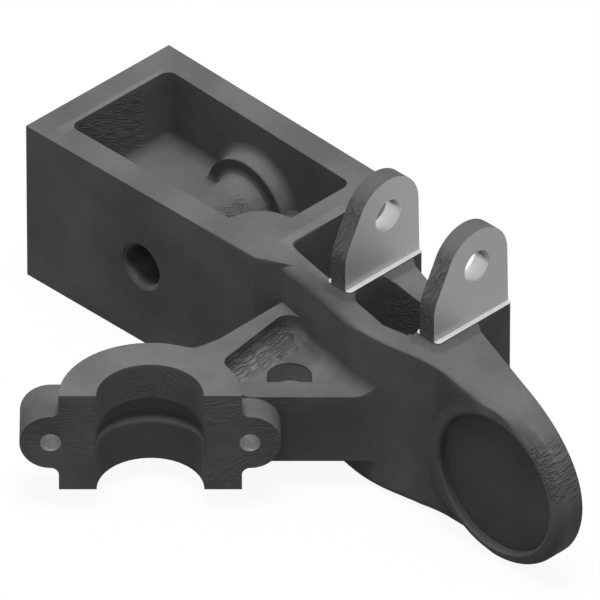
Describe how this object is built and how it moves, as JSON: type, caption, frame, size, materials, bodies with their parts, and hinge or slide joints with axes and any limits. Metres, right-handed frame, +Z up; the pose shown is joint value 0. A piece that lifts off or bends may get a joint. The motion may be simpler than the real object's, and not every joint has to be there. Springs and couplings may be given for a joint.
{
  "type": "shock absorber bracket",
  "caption": "Cast bracket joining a hollow box end, a clevis for a damper eye, a round end disc and a half clamp on a ribbed arm.",
  "frame": {"origin": "on the clevis pin axis, midway between the machined lug faces", "axes": "+X along the clevis pin from the box end to the disc, +Z up towards the round lug heads, -Y towards the clamp"},
  "size_m": [0.4605, 0.2927, 0.1772],
  "materials": {
    "casting": "matte dark sand-cast skin, with the lug faces and holes machined bright"
  },
  "bodies": {
    "root": {"bracket": "casting"}
  },
  "joints": []
}
